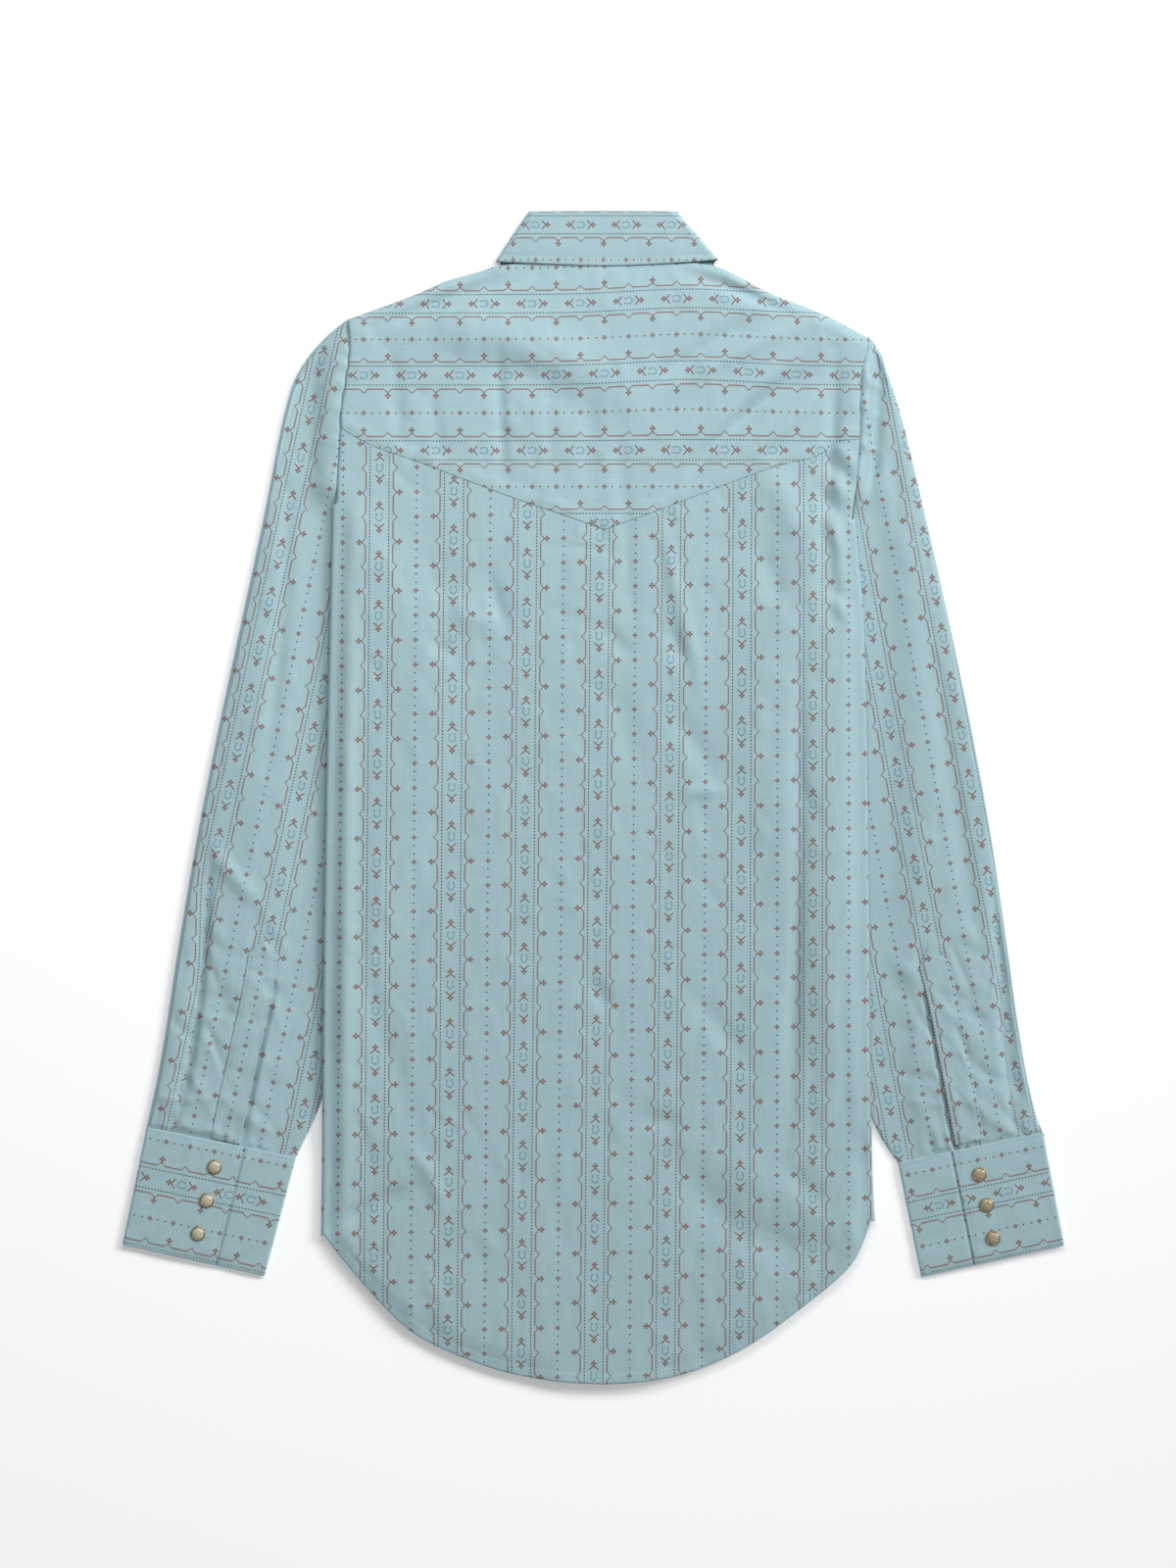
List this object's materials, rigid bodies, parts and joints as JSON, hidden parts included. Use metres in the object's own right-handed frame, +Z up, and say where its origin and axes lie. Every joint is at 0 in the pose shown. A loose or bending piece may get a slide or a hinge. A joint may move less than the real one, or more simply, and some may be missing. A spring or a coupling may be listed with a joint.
{
  "type": "western snap shirt",
  "caption": "Long-sleeved western shirt lying flat and face down, fastened with pearl snaps, with a pointed back yoke, snapped cuffs and a curved shirt-tail hem.",
  "frame": {"origin": "on the surface that the shirt lies on, under the middle of its outline", "axes": "+X across the shirt towards the wearer's right sleeve, +Y up the back to the collar, +Z up from the surface"},
  "size_m": [0.6916, 0.861, 0.0132],
  "materials": {
    "printed_cloth": "crisp matt cotton poplin, pale aqua with a small charted stripe print in brown and blue",
    "snap_pearl": "champagne pearl dome in a brass-toned metal rim"
  },
  "bodies": {
    "root": {"back_yoke": "printed_cloth", "back_panel": "printed_cloth", "front_left": "printed_cloth", "front_right": "printed_cloth", "front_placket": "printed_cloth", "collar_stand": "printed_cloth", "collar_leaf": "printed_cloth", "sleeve_left": "printed_cloth", "sleeve_right": "printed_cloth", "sleeve_placket_left": "printed_cloth", "sleeve_placket_right": "printed_cloth", "cuff_left": "printed_cloth", "cuff_right": "printed_cloth", "cuff_snap_left_1": "snap_pearl", "cuff_snap_left_2": "snap_pearl", "cuff_snap_left_3": "snap_pearl", "cuff_snap_right_1": "snap_pearl", "cuff_snap_right_2": "snap_pearl", "cuff_snap_right_3": "snap_pearl", "front_snap_1": "snap_pearl", "front_snap_2": "snap_pearl", "front_snap_3": "snap_pearl", "front_snap_4": "snap_pearl", "front_snap_5": "snap_pearl", "front_snap_6": "snap_pearl", "front_snap_7": "snap_pearl"}
  },
  "joints": []
}
